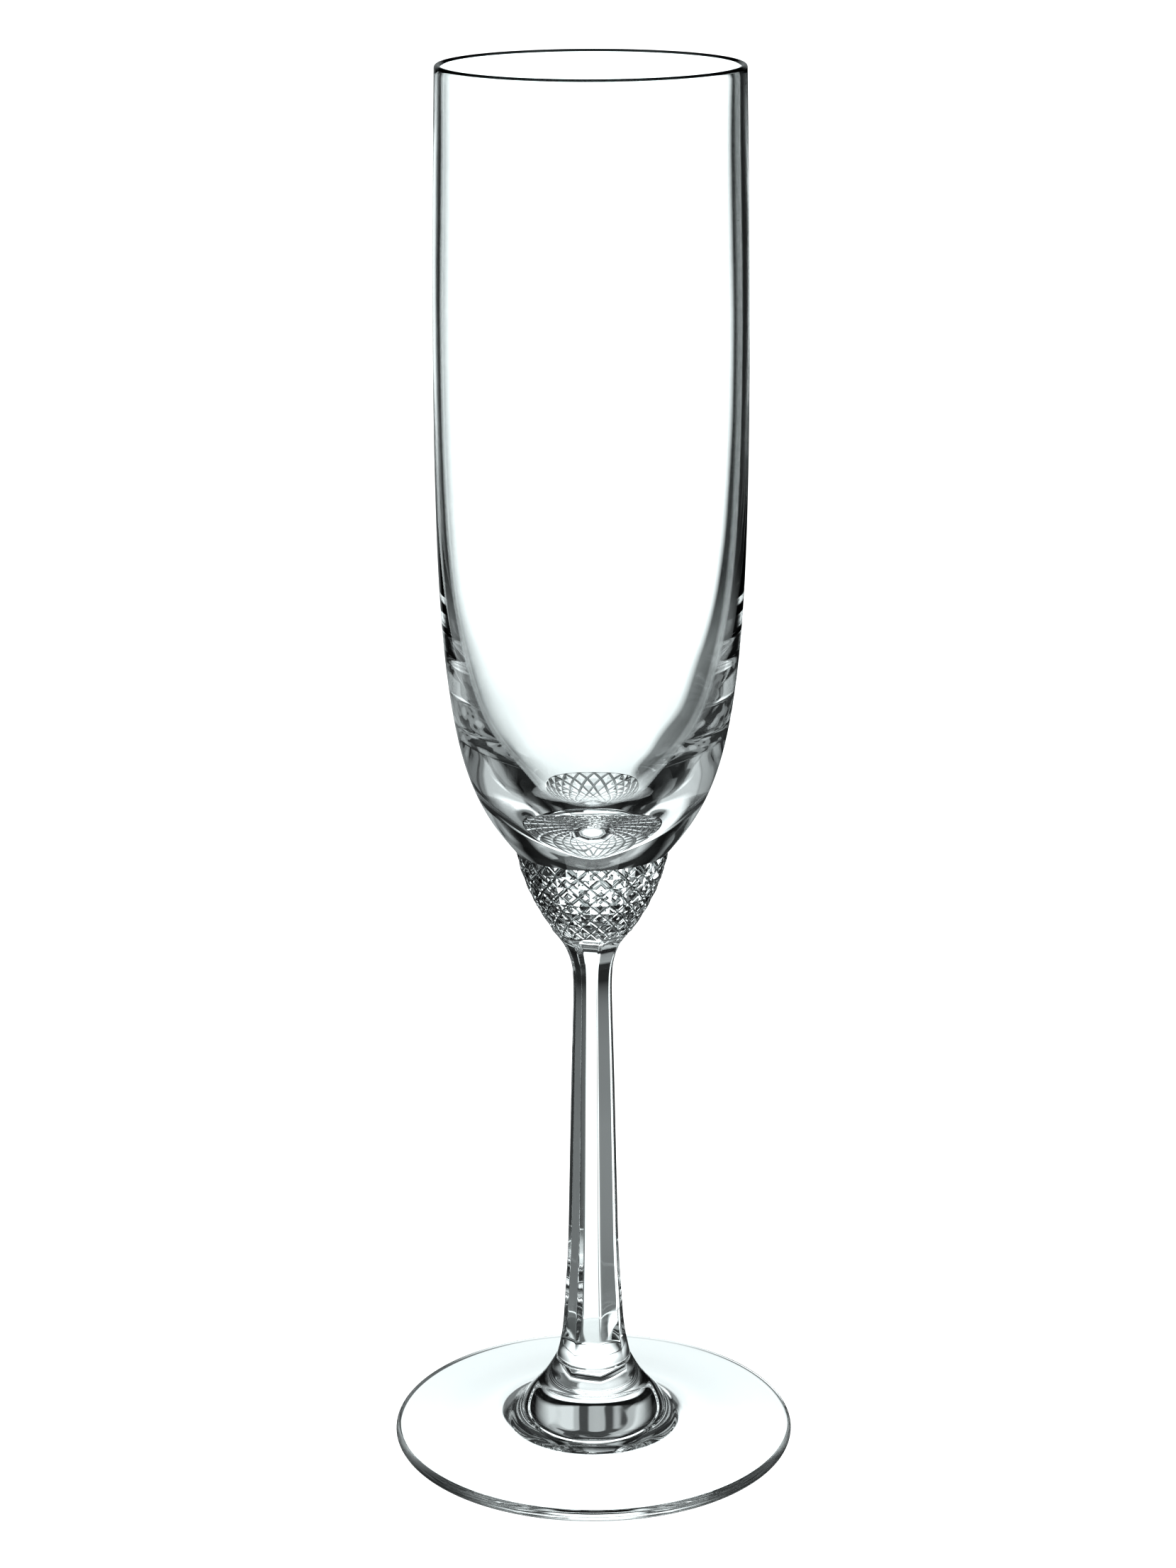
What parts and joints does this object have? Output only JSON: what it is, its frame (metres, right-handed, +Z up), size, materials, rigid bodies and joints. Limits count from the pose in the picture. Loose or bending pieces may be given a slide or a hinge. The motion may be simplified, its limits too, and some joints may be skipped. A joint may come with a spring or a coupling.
{
  "type": "champagne flute",
  "caption": "Tall narrow glass flute with a rounded bowl, a diamond-cut cup under it, an eight-sided tapering stem and a round flared foot.",
  "frame": {"origin": "centre of the circle that the foot stands on", "axes": "+Z up along the flute's axis, from the foot to the rim; one edge of the stem is 10.5 degrees from -Y towards +X"},
  "size_m": [0.0702, 0.0702, 0.24],
  "materials": {
    "bowl_glass": "clear, fire-polished",
    "cut_glass": "clear, polished diamond cutting",
    "stem_glass": "clear, polished flat facets",
    "foot_glass": "clear, fire-polished"
  },
  "bodies": {
    "root": {"bowl": "bowl_glass", "diamond_cup": "cut_glass", "stem": "stem_glass", "foot": "foot_glass"}
  },
  "joints": []
}
